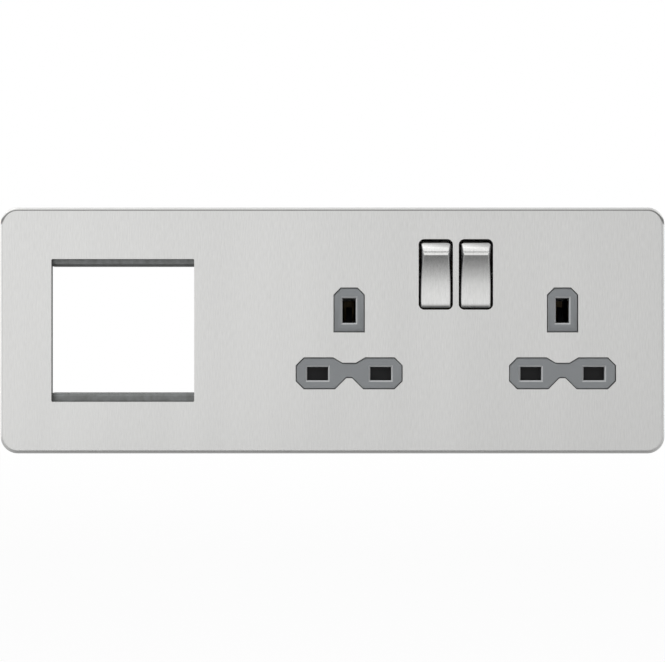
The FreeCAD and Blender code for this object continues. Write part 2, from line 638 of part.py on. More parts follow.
# metal cap of a rocker: dished front, rounded ridges and nose, open behind
def rocker_cap(side):
    body = new_body(f"rocker_cap_{side}")
    w, tall, ridge, foot = D.cap_half_w, D.cap_half_z, D.cap_ridge, D.cap_foot
    brow = tall - D.nose_len
    lip = -ridge + D.nose_fall
    sketch = new_sketch(body, "cap_profile", "YZ", -w)
    corners = [(-foot, -tall), (-D.cap_back, -tall), (-D.cap_back, tall), (lip, tall), (-ridge, brow)]
    for a, b in zip(corners[:4], corners[1:4]):
        line = Part.LineSegment(V(size(a[0]).now, size(a[1]).now, 0), V(size(b[0]).now, size(b[1]).now, 0))
        sketch.addGeometry(line, False)
    # the nose rolls over from the ridge; the face runs down from it in one shallow hollow
    roll = (D.nose_len * D.nose_len + D.nose_fall * D.nose_fall) / (2 * D.nose_fall)
    run, drop = brow + tall, ridge - foot
    span = run * run + drop * drop
    bow = (span / 4 + D.cap_dish * D.cap_dish) / (2 * D.cap_dish)
    turn = math.asin(D.nose_len.now / roll.now) / 2
    crown = V(-ridge.now + roll.now * (1 - math.cos(turn)), brow.now + roll.now * math.sin(turn), 0)
    lean = D.cap_dish.now / math.sqrt(span.now)
    hollow = V(-(ridge.now + foot.now) / 2 + lean * run.now, (brow.now - tall.now) / 2 + lean * drop.now, 0)
    arcs = ((corners[3], crown, corners[4], roll, 2), (corners[4], hollow, corners[0], bow, 3))
    for start, middle, end, rad, index in arcs:
        a, b = [V(size(p[0]).now, size(p[1]).now, 0) for p in (start, end)]
        index = sketch.addGeometry(Part.ArcOfCircle(a, middle, b), False)
        limit = sketch.addConstraint(Sketcher.Constraint("Radius", index, rad.now))
        sketch.setExpression(f"Constraints[{limit}]", rad.text)
    for i, (u, v) in enumerate(corners[:4]):
        geometry, point = (i, 1) if i < 3 else (2, 2)
        hold(sketch, "DistanceX", geometry, point, u)
        hold(sketch, "DistanceY", geometry, point, v)
    for i in (0, 1):
        sketch.addConstraint(Sketcher.Constraint("Coincident", i, 2, i + 1, 1))
    nose_up = 1 if sketch.getPoint(3, 1).y > brow.now + 1e-3 else 2
    face_up = 1 if sketch.getPoint(4, 1).y > 0 else 2
    sketch.addConstraint(Sketcher.Constraint("Coincident", 3, nose_up, 2, 2))
    sketch.addConstraint(Sketcher.Constraint("Coincident", 4, face_up, 3, 3 - nose_up))
    sketch.addConstraint(Sketcher.Constraint("Coincident", 4, 3 - face_up, 0, 1))
    hold(sketch, "DistanceX", 4, face_up, -ridge)
    hold(sketch, "DistanceY", 4, face_up, brow)
    pad = body.newObject("PartDesign::Pad", "cap_block")
    pad.Profile = sketch
    pad.setExpression("Length", (2 * w).text)
    doc.recompute()
    # flanks lean in towards the ridge, and the four corners follow the aperture's
    root, past = -D.cap_back - D.flank_root, -ridge - D.overrun
    far = w + D.overrun
    flank = [(w, root), (w - D.cap_flank, -ridge), (w - D.cap_flank, past), (far, past), (far, root)]
    flanks = [flank, [(-u, v) for u, v in flank]]
    prism(body, "cap_flanks", "XY", -tall - D.overrun, tall + D.overrun, flanks, take=True)
    outside = rect(-far, far, -tall - D.overrun, tall + D.overrun)
    kept = (centred(0, 0, w, tall), D.cap_corner)
    prism(body, "cap_corners", "XZ", past, -D.cap_back + D.overrun, [outside], rounds=[kept], take=True)
    inner = rect(-w + D.cap_wall, w - D.cap_wall, -tall + D.cap_wall, cap_inner_top())
    prism(body, "cap_hollow", "XZ", cap_floor(), -D.cap_back + D.overrun, [inner], take=True)
    seat(body, side)
    keep(f"rocker_cap_{side}", body)


# where the black block stands inside the cap
def cap_floor():
    return -(D.cap_ridge + D.cap_foot) / 2 + D.cap_dish + D.cap_wall


def cap_inner_top():
    return D.cap_half_z - D.nose_wall


# puts a rocker's piece at its pivot, tilted as the photograph shows it
def seat(thing, side):
    thing.Placement = FreeCAD.Placement(V(0, 0, 0), FreeCAD.Rotation(V(1, 0, 0), D.rock_tilt.now))
    thing.setExpression("Placement.Base.x", ROCKERS[side].text)
    thing.setExpression("Placement.Base.y", D.pivot_y.text)
    thing.setExpression("Placement.Base.z", D.aper_z.text)
    thing.setExpression("Placement.Rotation.Angle", D.rock_tilt.text)


# black rocker body under the cap: block, hub with two trunnions, two plunger tubes
def rocker_body(side):
    body = new_body(f"rocker_body_{side}")
    slack = D.cap_wall + D.cap_fit
    w, tall = D.cap_half_w - slack, D.cap_half_z - slack
    block = rect(-w, w, -tall, cap_inner_top() - D.cap_fit)
    rim = -D.cap_back + D.skirt_gap
    prism(body, "rocker_block", "XZ", cap_floor() + D.cap_fit, rim + D.weld, [block])
    cheek = D.cap_half_w - D.cheek_in
    skirt = rect(-cheek, cheek, -tall, tall)
    prism(body, "rocker_skirt", "XZ", rim, -D.cap_back + D.skirt_t, [skirt])
    half = D.hub_half
    prism(body, "hub", "YZ", -cheek, cheek, [rect(rim, half, -half, half)])
    reach = D.well_half + D.trunnion_reach
    prism(body, "trunnions", "YZ", -reach, reach, circles=[(0, 0, D.trunnion_rad)])
    half = D.tube_half
    tubes = [rect(x - half, x + half, -half, half) for x in (-D.pole_x, D.pole_x)]
    prism(body, "tubes", "XZ", 0, D.tube_end, tubes)
    half = D.plunger_half + D.plunger_fit
    bores = [rect(x - half, x + half, -half, half) for x in (-D.pole_x, D.pole_x)]
    prism(body, "tube_bores", "XZ", D.overrun, D.tube_end + D.overrun, bores, take=True)
    seat(body, side)
    keep(f"rocker_body_{side}", body)


# two square, blunt-nosed plungers that stand in the rocker's tubes and ride on the moving contacts
def rocker_plungers(side):
    pins = []
    half = D.plunger_half
    for pole in ("neutral", "live"):
        body = new_body(f"plunger_{pole}_{side}")
        x = pole_x(side, pole) - ROCKERS[side]
        tip, brow = D.plunger_tip, D.plunger_tip - half / 2
        outline = [(D.plunger_root, -half), (brow, -half), (tip, -half / 2), (tip, half / 2), (brow, half),
                   (D.plunger_root, half)]
        prism(body, "shaft", "YZ", x - half, x + half, [outline])
        pins.append(body)
    pair = group(f"rocker_plungers_{side}", pins)
    seat(pair, side)
    keep(f"rocker_plungers_{side}", pair)


# see-saw contacts: strip with a half-round bead under its middle and a button at the working end
def moving_contacts(side):
    arms = []
    half, w = D.see_half, D.see_w
    for pole in ("neutral", "live"):
        x = pole_x(side, pole)
        tag = f"{pole}_{side}"
        strip = box(f"see_strip_{tag}", -w / 2, w / 2, -D.see_t, 0, -half, half)
        bead = rod(f"see_bead_{tag}", D.bead_rad, w, -w / 2, 0, 0, "x")
        button = rod(f"see_button_{tag}", D.tip_rad, D.tip_t, 0, 0, D.tip_z)
        arm = fuse(f"arm_{tag}", [strip, bead, button])
        arm.Placement = FreeCAD.Placement(V(0, 0, 0), FreeCAD.Rotation(V(-1, 0, 0), D.rock_tilt.now))
        arm.setExpression("Placement.Base.x", x.text)
        arm.setExpression("Placement.Base.y", D.see_y.text)
        arm.setExpression("Placement.Base.z", D.aper_z.text)
        arm.setExpression("Placement.Rotation.Angle", (D.rock_tilt * D.see_ratio).text)
        arms.append(arm)
    keep(f"moving_contacts_{side}", group(f"moving_contacts_{side}", arms))


# sliding shutter: bar behind the two lower slots, fork round the earth pin, sloped rib the pin pushes on
def shutter(side):
    body = new_body(f"shutter_{side}")
    cx = SOCKETS[side]
    front, back = D.shut_front, D.shut_front + D.shut_t
    low, bar_top = D.pin_z - D.shut_down, D.pin_z + D.shut_up
    left = [(cx - u, v) for u, v in (
        (D.fork_in, D.ramp_low), (D.fork_in, D.fork_top), (D.fork_out, D.fork_top), (D.fork_out, bar_top),
        (D.shut_half, bar_top), (D.shut_half, low))]
    right = [(2 * cx - u, v) for u, v in reversed(left)]
    prism(body, "shutter_plate", "XZ", front, back, [left + right])
    slope = [
        (front, D.ramp_low - D.ramp_foot), (D.ramp_y, D.ramp_low - D.ramp_foot),
        (D.ramp_y, D.ramp_low + D.ramp_rise),
        (front + D.ramp_nose, D.ramp_low + D.ramp_rise - D.ramp_y + front + D.ramp_nose),
        (front, D.ramp_low - D.ramp_nose),
    ]
    prism(body, "ramp", "YZ", cx - D.ramp_w / 2, cx + D.ramp_w / 2, [slope])
    keep(f"shutter_{side}", body)


# coil spring that lifts the shutter back, from the moulding's ledge up to the shutter's bar
def shutter_spring(side):
    cx = SOCKETS[side].now
    wire, rad = D.spring_wire.now, D.spring_rad.now
    low = ledge_top().now + wire
    top = (D.pin_z - D.shut_down).now - wire - D.spring_gap.now
    steps = int(D.spring_turns.now * D.spring_steps.now)
    points = []
    for i in range(steps + 1):
        turn = 2 * math.pi * i / D.spring_steps.now
        points.append(V(rad * math.cos(turn), rad * math.sin(turn), (top - low) * i / steps))
    path = Part.makePolygon(points)
    along = points[1] - points[0]
    sides = 6
    across = along.cross(V(0, 0, 1)).normalize()
    up = across.cross(along).normalize()
    ring = [
        points[0] + (across * math.cos(a) + up * math.sin(a)) * wire
        for a in [2 * math.pi * k / sides for k in range(sides)]
    ]
    ring.append(ring[0])
    sweep = Part.BRepOffsetAPI.MakePipeShell(path)
    sweep.setTransitionMode(1)
    sweep.add(Part.makePolygon(ring))
    sweep.build()
    sweep.makeSolid()
    made = doc.addObject("Part::Feature", f"shutter_spring_{side}")
    made.Shape = sweep.shape()
    deep = FLOOR_BACK.now + rad + wire + D.guide_gap.now
    made.Placement = FreeCAD.Placement(V(cx, deep, low), FreeCAD.Rotation())
    keep(f"shutter_spring_{side}", made)


# springy jaws round a pin: two leaves from a common back, flared at the mouth, as (along Y, across)
def jaw_outline(mid, base, front, pin_side):
    turn = front + D.jaw_mouth
    gap, t, flare = size(pin_side), D.jaw_t, D.jaw_flare
    upper = [
        (base + D.strip_t, gap + t), (turn, gap + t), (front, gap + t + flare),
        (front, gap + flare), (turn, gap), (base, gap),
    ]
    return [(y, mid + v) for y, v in upper] + [(y, mid - v) for y, v in reversed(upper)]


# one pole of one socket: jaws, riser, lane to the switch, and the fixed contact under the moving one
def outlet_contact(pole, side):
    body = new_body(f"{pole}_contact_{side}")
    cx = SOCKETS[side]
    x = cx - D.pin_half if pole == "neutral" else cx + D.pin_half
    base = D.fixed_y if pole == "neutral" else D.live_y
    half, reach = D.jaw_w / 2, D.see_w / 2
    jaw = jaw_outline(D.pin_z, base, D.jaw_front, D.jaw_open)
    prism(body, "jaws", "YZ", x - half, x + half, [jaw])
    goal = pole_x(side, pole)
    first, last = (x - half, goal + reach) if x.now < goal.now else (goal - reach, x + half)
    edge = x + half if x.now < goal.now else x - half
    riser = D.pin_z - D.jaw_open - D.jaw_t
    if x.now < goal.now:
        strip = [(first, riser), (edge, riser), (edge, D.lane_low), (last, D.lane_low),
                 (last, D.lane_high), (first, D.lane_high)]
    else:
        strip = [(last, riser), (last, D.lane_high), (first, D.lane_high), (first, D.lane_low),
                 (edge, D.lane_low), (edge, riser)]
    prism(body, "strip", "XZ", base, base + D.strip_t, [strip])
    if pole == "live":
        pad = rect(goal - reach, goal + reach, D.lane_low, D.lane_high)
        prism(body, "fixed_pad", "XZ", D.fixed_y, base + D.weld, [pad])
    keep(f"{pole}_contact_{side}", body)


# supply bar of one pole: notched posts under both moving contacts, cross bar, leg down to the terminal
def supply_bar(pole):
    body = new_body(f"{pole}_supply_bar")
    low, high = (D.n_bar_low, D.n_bar_high) if pole == "neutral" else (D.l_bar_low, D.l_bar_high)
    leg = N_LEG if pole == "neutral" else L_LEG
    posts = [pole_x(side, pole) for side in ("left", "right")]
    reach = D.see_w / 2
    near, far = leg - D.leg_w / 2, posts[1] + reach
    if pole == "live":
        near, far = posts[0] - reach, leg + D.leg_w / 2
    prism(body, "cross_bar", "XZ", D.bar_y, D.bar_y + D.bar_t, [rect(near, far, low, high)])
    stem = rect(leg - D.leg_w / 2, leg + D.leg_w / 2, D.term_top, low + D.weld)
    prism(body, "leg", "XZ", D.bar_y, D.bar_y + D.bar_t, [stem])
    z0, z1 = (D.aper_z - D.post_half, high) if pole == "neutral" else (low, D.aper_z + D.post_half)
    tongues = [rect(x - reach, x + reach, z0, z1) for x in posts]
    prism(body, "tongues", "XZ", D.bar_y, D.bar_y + D.bar_t, tongues)
    uprights = [rect(x - reach, x + reach, D.aper_z - D.post_half, D.aper_z + D.post_half) for x in posts]
    prism(body, "posts", "XZ", D.post_y, D.bar_y + D.weld, uprights)
    bead = (D.see_y, D.aper_z, D.bead_rad + D.bead_fit)
    ends = (posts[0] - reach - D.overrun, posts[1] + reach + D.overrun)
    prism(body, "bead_notches", "YZ", ends[0], ends[1], circles=[bead], take=True)
    keep(f"{pole}_supply_bar", body)


# one strip joins both earth jaws and both earth terminals
def earth_bar():
    body = new_body("earth_bar")
    half = D.e_jaw_h / 2
    for side, cx in SOCKETS.items():
        jaw = [(v, u) for u, v in jaw_outline(cx, D.earth_y, D.e_jaw_front, D.jaw_open)]
        prism(body, f"jaws_{side}", "XY", EARTH_Z - half, EARTH_Z + half, [jaw])
    left, right = [SOCKETS[s] + n * (D.jaw_open + D.jaw_t) for s, n in (("left", -1), ("right", 1))]
    drop = D.earth_term + D.term_w / 2
    low, high = EARTH_Z - D.earth_lane, EARTH_Z + D.earth_lane
    foot = D.term_top - D.earth_foot
    strip = [
        (left, low), (D.pair_x - drop, low), (D.pair_x - drop, foot), (D.pair_x + drop, foot),
        (D.pair_x + drop, low), (right, low), (right, high), (left, high),
    ]
    prism(body, "lane", "XZ", D.earth_y, D.earth_y + D.strip_t, [strip])
    keep("earth_bar", body)


# brass block: square wire way from below, clamp screw from behind
def terminal(name):
    x = TERMINALS[name]
    half = D.term_w / 2
    block = box(f"block_{name}", x - half, x + half, D.term_front, D.earth_y, D.term_low, D.term_top)
    wide, deep = D.wire_half, D.term_low + D.wire_deep
    bore = box(f"bore_{name}", x - wide, x + wide, D.wire_y - wide, D.wire_y + wide, D.term_low - D.overrun, deep)
    deep = D.earth_y - D.wire_y + D.overrun
    thread = rod(f"thread_{name}", D.clamp_rad + D.clamp_gap, deep, x, D.wire_y, D.clamp_z)
    return cut(f"drilled_{name}", block, [bore, thread])


def terminals():
    keep("neutral_terminal", terminal("neutral"))
    keep("live_terminal", terminal("live"))
    keep("earth_terminals", group("earth_terminals", [terminal("earth_a"), terminal("earth_b")]))


# slotted screw lying along Y, its head towards the back
def screw(name, x, z, tip_y, seat_y, shank, head, head_t):
    stem = rod(f"stem_{name}", shank, seat_y - tip_y + D.weld, x, tip_y, z)
    cap = rod(f"head_{name}", head, head_t, x, seat_y, z)
    groove = box(f"groove_{name}", x - head - D.overrun, x + head + D.overrun, seat_y + head_t - D.drive_d,
                 seat_y + head_t + D.overrun, z - D.drive_w / 2, z + D.drive_w / 2)
    return cut(f"screw_{name}", fuse(f"blank_{name}", [stem, cap]), [groove])


def screws():
    clamps = []
    for name, x in TERMINALS.items():
        tip, end = D.wire_y + D.clamp_nose, D.earth_y + D.clamp_out
        stem = rod(f"clamp_{name}", D.clamp_rad, end - tip, x, tip, D.clamp_z)
        reach, half = D.clamp_rad + D.overrun, D.drive_w / 2
        groove = box(f"clamp_groove_{name}", x - reach, x + reach, end - D.drive_d, end + D.overrun,
                     D.clamp_z - half, D.clamp_z + half)
        clamps.append(cut(f"clamp_screw_{name}", stem, [groove]))
    keep("terminal_screws", group("terminal_screws", clamps))
    seat_y = D.back_y - D.cs_head_t - D.head_sink
    covers = [
        screw(f"cover_{i}", x, z, D.join_y - D.cs_bite, seat_y, D.cs_rad, D.cs_head, D.cs_head_t)
        for i, (x, z) in enumerate(post_points())
    ]
    keep("cover_screws", group("cover_screws", covers))


# the model's pieces, front to back
front_plate()
clip_frame()
mounting_yoke()
socket_moulding()
rear_cover()
for side in ("left", "right"):
    rocker_cap(side)
    rocker_body(side)
    rocker_plungers(side)
    moving_contacts(side)
    shutter(side)
    shutter_spring(side)
    for pole in ("neutral", "live"):
        outlet_contact(pole, side)
for pole in ("neutral", "live"):
    supply_bar(pole)
earth_bar()
terminals()
screws()

doc.recompute()
for thing in doc.Objects:
    if "Invalid" in thing.State or "Error" in thing.State:
        raise RuntimeError(f"{thing.Name} failed: {thing.State}")
os.makedirs("parts", exist_ok=True)
for label, made in nodes.items():
    shape = made.Shape
    if shape.isNull() or not shape.isValid():
        raise RuntimeError(f"{label} has no valid shape")
    print(label, len(shape.Solids), round(shape.Volume, 1))
for label, made in nodes.items():
    made.Shape.exportStep(os.path.join("parts", f"{label}.step"))
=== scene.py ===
import bmesh
import bpy
import math
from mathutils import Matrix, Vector


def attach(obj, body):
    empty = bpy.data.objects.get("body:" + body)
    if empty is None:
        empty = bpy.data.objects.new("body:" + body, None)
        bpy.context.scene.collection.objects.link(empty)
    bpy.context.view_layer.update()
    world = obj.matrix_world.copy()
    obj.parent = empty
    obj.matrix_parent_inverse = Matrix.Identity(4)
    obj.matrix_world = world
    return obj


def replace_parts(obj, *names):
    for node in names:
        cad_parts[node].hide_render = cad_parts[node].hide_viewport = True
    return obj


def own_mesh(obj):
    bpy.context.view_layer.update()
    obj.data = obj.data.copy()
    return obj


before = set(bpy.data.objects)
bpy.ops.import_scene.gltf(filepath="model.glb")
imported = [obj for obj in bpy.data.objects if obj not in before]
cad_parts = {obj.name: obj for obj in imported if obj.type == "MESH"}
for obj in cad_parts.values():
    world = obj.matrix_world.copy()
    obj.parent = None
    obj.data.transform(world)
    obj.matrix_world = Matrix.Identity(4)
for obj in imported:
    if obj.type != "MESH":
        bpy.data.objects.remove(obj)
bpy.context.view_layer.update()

# Front plate.
# The real one is a single pressing of stainless sheet, one millimetre thick, with a drawn rim.
# Its face is brushed upright after pressing, and it clips over the frame behind it.


def new_group(name, inputs, outputs):
    """A node group. A colour is given as four numbers and a plain value as one."""
    tree = bpy.data.node_groups.new(name, "ShaderNodeTree")
    for label, value in inputs.items():
        kind = "NodeSocketColor" if isinstance(value, tuple) else "NodeSocketFloat"
        socket = tree.interface.new_socket(name=label, in_out="INPUT", socket_type=kind)
        socket.default_value = value
    for label in outputs:
        kind = "NodeSocketColor" if label == "Colour" else "NodeSocketFloat"
        tree.interface.new_socket(name=label, in_out="OUTPUT", socket_type=kind)
    return tree, tree.nodes.new("NodeGroupInput"), tree.nodes.new("NodeGroupOutput")


def calculate(tree, operation, *terms):
    """One Math node, whose terms are numbers or other nodes' outputs."""
    node = tree.nodes.new("ShaderNodeMath")
    node.operation = operation
    for index, term in enumerate(terms):
        if isinstance(term, (int, float)):
            node.inputs[index].default_value = term
        else:
            tree.links.new(term, node.inputs[index])
    return node.outputs["Value"]


def map_range(tree, value, start, end, to_start=0.0, to_end=1.0):
    """Runs from to_start to to_end while the value runs from start to end, and no further."""
    node = tree.nodes.new("ShaderNodeMapRange")
    node.inputs["From Min"].default_value = start
    node.inputs["From Max"].default_value = end
    node.inputs["To Min"].default_value = to_start
    node.inputs["To Max"].default_value = to_end
    tree.links.new(value, node.inputs["Value"])
    return node.outputs["Result"]


def grain(tree, place, scale, detail, roughness=0.5, distortion=0.0):
    """A random grain, whose grains per metre are a number or a group's own input."""
    node = tree.nodes.new("ShaderNodeTexNoise")
    node.inputs["Detail"].default_value = detail
    node.inputs["Roughness"].default_value = roughness
    node.inputs["Distortion"].default_value = distortion
    tree.links.new(place, node.inputs["Vector"])
    if isinstance(scale, (int, float)):
        node.inputs["Scale"].default_value = scale
    else:
        tree.links.new(scale, node.inputs["Scale"])
    return node.outputs["Fac"]


def mix_colours(tree, share, first, second):
    node = tree.nodes.new("ShaderNodeMix")
    node.data_type = "RGBA"
    tree.links.new(share, node.inputs["Factor"])
    tree.links.new(first, node.inputs["A"])
    tree.links.new(second, node.inputs["B"])
    return node.outputs["Result"]


HAIR_DEPTH_IN_GLOSS = 0.12
CLOUDS_PER_METRE = 60
CLOUD_IN_GLOSS = 0.05


def brushed_metal_group():
    """Hair lines along Z with slow cloudiness: colour, roughness and a fine height."""
    tree, given, made = new_group("brushed_hair_lines", {
        "Colour": (0.7, 0.7, 0.7, 1), "Dark line": (0.5, 0.5, 0.5, 1),
        "Lines per metre": 3000.0, "Stretch": 0.012, "Roughness": 0.35,
    }, ["Colour", "Roughness", "Height"])
    nodes, links = tree.nodes, tree.links
    place = nodes.new("ShaderNodeTexCoord")
    axis = nodes.new("ShaderNodeCombineXYZ")
    axis.inputs["X"].default_value = 1
    axis.inputs["Y"].default_value = 1
    links.new(given.outputs["Stretch"], axis.inputs["Z"])
    drawn_out = nodes.new("ShaderNodeVectorMath")
    drawn_out.operation = "MULTIPLY"
    links.new(place.outputs["Object"], drawn_out.inputs[0])
    links.new(axis.outputs["Vector"], drawn_out.inputs[1])
    along = drawn_out.outputs["Vector"]
    hair = grain(tree, along, given.outputs["Lines per metre"], detail=3, roughness=0.6)
    cloud = grain(tree, along, CLOUDS_PER_METRE, detail=2)
    contrast = map_range(tree, hair, start=0.3, end=0.7)
    colour = mix_colours(tree, contrast, given.outputs["Dark line"], given.outputs["Colour"])
    uneven = map_range(tree, cloud, 0, 1, -CLOUD_IN_GLOSS, CLOUD_IN_GLOSS)
    rough = calculate(tree, "ADD", given.outputs["Roughness"], uneven)
    rough = calculate(tree, "MULTIPLY_ADD", hair, HAIR_DEPTH_IN_GLOSS, rough)
    links.new(colour, made.inputs["Colour"])
    links.new(rough, made.inputs["Roughness"])
    links.new(hair, made.inputs["Height"])
    return tree


HAIR_LINES = brushed_metal_group()
# a bump is its strength and its depth in metres
HAIR_BUMP = (0.2, 0.00002)


def new_material(name, metallic=0):
    material = bpy.data.materials.new(name)
    material.use_nodes = True
    bsdf = material.node_tree.nodes["Principled BSDF"]
    bsdf.inputs["Metallic"].default_value = metallic
    return material, material.node_tree, bsdf


def lay_finish(tree, group, bsdf, values, bump):
    """Feeds an effect group's colour, roughness and height to a material's shader."""
    node = tree.nodes.new("ShaderNodeGroup")
    node.node_tree = group
    for label, value in values.items():
        node.inputs[label].default_value = value
    tree.links.new(node.outputs["Colour"], bsdf.inputs["Base Color"])
    tree.links.new(node.outputs["Roughness"], bsdf.inputs["Roughness"])
    strength, depth = bump
    lift = tree.nodes.new("ShaderNodeBump")
    lift.inputs["Strength"].default_value = strength
    lift.inputs["Distance"].default_value = depth
    tree.links.new(node.outputs["Height"], lift.inputs["Height"])
    tree.links.new(lift.outputs["Normal"], bsdf.inputs["Normal"])
    return node.outputs["Colour"]


def coat(piece, material):
    piece.data.materials.clear()
    piece.data.materials.append(material)


def finish_with(material, *names):
    for name in names:
        coat(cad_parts[name], material)


def grey_ramp(tree, value, stops):
    """A ramp of greys, each stop given as its place and its tone."""
    node = tree.nodes.new("ShaderNodeValToRGB")
    marks = node.color_ramp.elements
    for index, (at, tone) in enumerate(stops):
        mark = marks[index] if index < 2 else marks.new(at)
        mark.position = at
        mark.color = (tone, tone, tone, 1)
    tree.links.new(value, node.inputs["Fac"])
    return node.outputs["Color"]


def surface_lean(tree):
    """The direction that the surface faces, on the piece's own axes."""
    facing = tree.nodes.new("ShaderNodeTexCoord")
    lean = tree.nodes.new("ShaderNodeSeparateXYZ")
    tree.links.new(facing.outputs["Normal"], lean.inputs["Vector"])
    return lean.outputs


# painted shade: the upper bend is tinted darker by how far it leans up, and so is every surface
# where it turns into the rim
UPPER_BEND = [(0.0, 0), (0.02, 0), (0.09, 1), (0.28, 1), (0.42, 0)]
RIM_FROM, RIM_TO, RIM_SHADE_SHARE = -0.5, -0.15, 0.8


def painted_edge_shade_group():
    """Painted shade: the upper bend and every rim are darker than the face."""
    tree, given, made = new_group(
        "painted_edge_shade",
        {"Colour": (0.7, 0.7, 0.7, 1), "Painted shade colour": (0.4, 0.4, 0.4, 1)}, ["Colour"])
    lean = surface_lean(tree)
    bend = grey_ramp(tree, lean["Z"], UPPER_BEND)
    rim = map_range(tree, lean["Y"], RIM_FROM, RIM_TO, to_end=RIM_SHADE_SHARE)
    painted_shade_share = calculate(tree, "MAXIMUM", bend, rim)
    painted_tint = mix_colours(tree, painted_shade_share, given.outputs["Colour"], given.outputs["Painted shade colour"])
    tree.links.new(painted_tint, made.inputs["Colour"])
    return tree


def tint_through(tree, group, base, bsdf, label, tint):
    """Passes a base colour through a tinting group on its way to the shader."""
    node = tree.nodes.new("ShaderNodeGroup")
    node.node_tree = group
    node.inputs[label].default_value = tint
    tree.links.new(base, node.inputs["Colour"])
    tree.links.new(node.outputs["Colour"], bsdf.inputs["Base Color"])


plate_steel, tree, bsdf = new_material("brushed_plate_steel", metallic=1)
lines = lay_finish(tree, HAIR_LINES, bsdf, {
    "Colour": (0.77, 0.77, 0.76, 1), "Dark line": (0.685, 0.685, 0.675, 1),
    "Lines per metre": 2600, "Stretch": 0.11, "Roughness": 0.30}, HAIR_BUMP)
# painted shade darkens the plate's upper bend and its rims
tint_through(tree, painted_edge_shade_group(), lines, bsdf, "Painted shade colour", (0.25, 0.25, 0.245, 1))
finish_with(plate_steel, "front_plate")

# Rocker caps.
# Each switch rocker wears a cap pressed from the same sheet, dished along its length.
# The caps are brushed the same way as the plate and clipped over the black rocker body.

# painted shade: a flank starts to darken as it leans sideways, and the foot as it leans down,
# though less
FLANK_FROM, FLANK_TO = 0.2, 0.6
FOOT_FROM, FOOT_TO, FOOT_SHADE_SHARE = -0.16, -0.4, 0.55


def painted_flank_shade_group():
    """Painted shade: the flanks and the lower end are darker than the face."""
    tree, given, made = new_group(
        "painted_flank_shade",
        {"Colour": (0.7, 0.7, 0.7, 1), "Painted flank shade colour": (0.3, 0.3, 0.3, 1)}, ["Colour"])
    lean = surface_lean(tree)
    flank = map_range(tree, calculate(tree, "ABSOLUTE", lean["X"]), FLANK_FROM, FLANK_TO)
    foot = map_range(tree, lean["Z"], FOOT_FROM, FOOT_TO, to_end=FOOT_SHADE_SHARE)
    painted_shade_share = calculate(tree, "MAXIMUM", flank, foot)
    painted_tint = mix_colours(tree, painted_shade_share, given.outputs["Colour"], given.outputs["Painted flank shade colour"])
    tree.links.new(painted_tint, made.inputs["Colour"])
    return tree


cap_steel, tree, bsdf = new_material("brushed_cap_steel", metallic=1)
lines = lay_finish(tree, HAIR_LINES, bsdf, {
    "Colour": (0.81, 0.81, 0.80, 1), "Dark line": (0.71, 0.71, 0.70, 1),
    "Lines per metre": 2800, "Stretch": 0.06, "Roughness": 0.14}, HAIR_BUMP)
# painted shade darkens the caps' flanks and lower end
tint_through(tree, painted_flank_shade_group(), lines, bsdf, "Painted flank shade colour", (0.3, 0.3, 0.305, 1))

# angles between faces are in radians
SAME_POINT = 0.0000005
SAME_PLANE = 0.004
RIDGE_BREAK = 0.12
CRISP_BREAK = 0.6
# a face looks forward, or leans forward, where its normal's y is below these
LOOKS_FORWARD, LEANS_FORWARD = -0.9, -0.5


def is_ridge(edge):
    # the crease across a cap where its nose meets the hollow face
    flat = all(face.normal.y < LOOKS_FORWARD for face in edge.link_faces)
    return flat and edge.calc_face_angle() > RIDGE_BREAK


def shade_round(form):
    """Curves shade smoothly; true corners and the caps' crease stay crisp."""
    for edge in form.edges:
        inside = len(edge.link_faces) == 2
        edge.smooth = inside and edge.calc_face_angle() < CRISP_BREAK and not is_ridge(edge)
    for face in form.faces:
        face.smooth = True


def eased_copy(node, name, is_crisp=None, ease=0.0, steps=1):
    """A node's own form, its pressed or moulded edges rounded off as the tool leaves them."""
    form = bmesh.new()
    form.from_mesh(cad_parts[node].data)
    bmesh.ops.remove_doubles(form, verts=form.verts[:], dist=SAME_POINT)
    bmesh.ops.dissolve_limit(
        form, angle_limit=SAME_PLANE, verts=form.verts[:], edges=form.edges[:])
    if is_crisp:
        crisp = [edge for edge in form.edges if len(edge.link_faces) == 2 and is_crisp(edge)]
        bmesh.ops.bevel(form, geom=crisp, affect="EDGES", offset=ease, segments=steps,
                        profile=0.5, material=-1)
    shade_round(form)
    mesh = bpy.data.meshes.new(name)
    form.to_mesh(mesh)
    form.free()
    piece = bpy.data.objects.new(name, mesh)
    bpy.context.scene.collection.objects.link(piece)
    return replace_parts(piece, node)


CAP_EASE = 0.00035
CAP_CORNER = 0.45


def around_cap_face(edge):
    # the rim where the dished face and nose meet the flanks, the corners and both ends
    in_front = any(face.normal.y < LEANS_FORWARD for face in edge.link_faces)
    return in_front and edge.calc_face_angle() >= CAP_CORNER


# the face is narrowest at the crease under the nose and spreads to the full width at the foot;
# widths are shares of the cap's own, and places are shares of its length, from its top
CAP_FOOT_SPREAD = 0.07
SPREAD_RATE = 1.2
CAP_WAIST = 0.045
WAIST_FROM, WAIST_AT, WAIST_TO = 0.15, 0.19, 0.62
# the rim at the cap's back keeps its width, and the shift grows over this depth
CAP_BACK_RIM = 0.0003
CAP_SHIFT_DEPTH = 0.0012


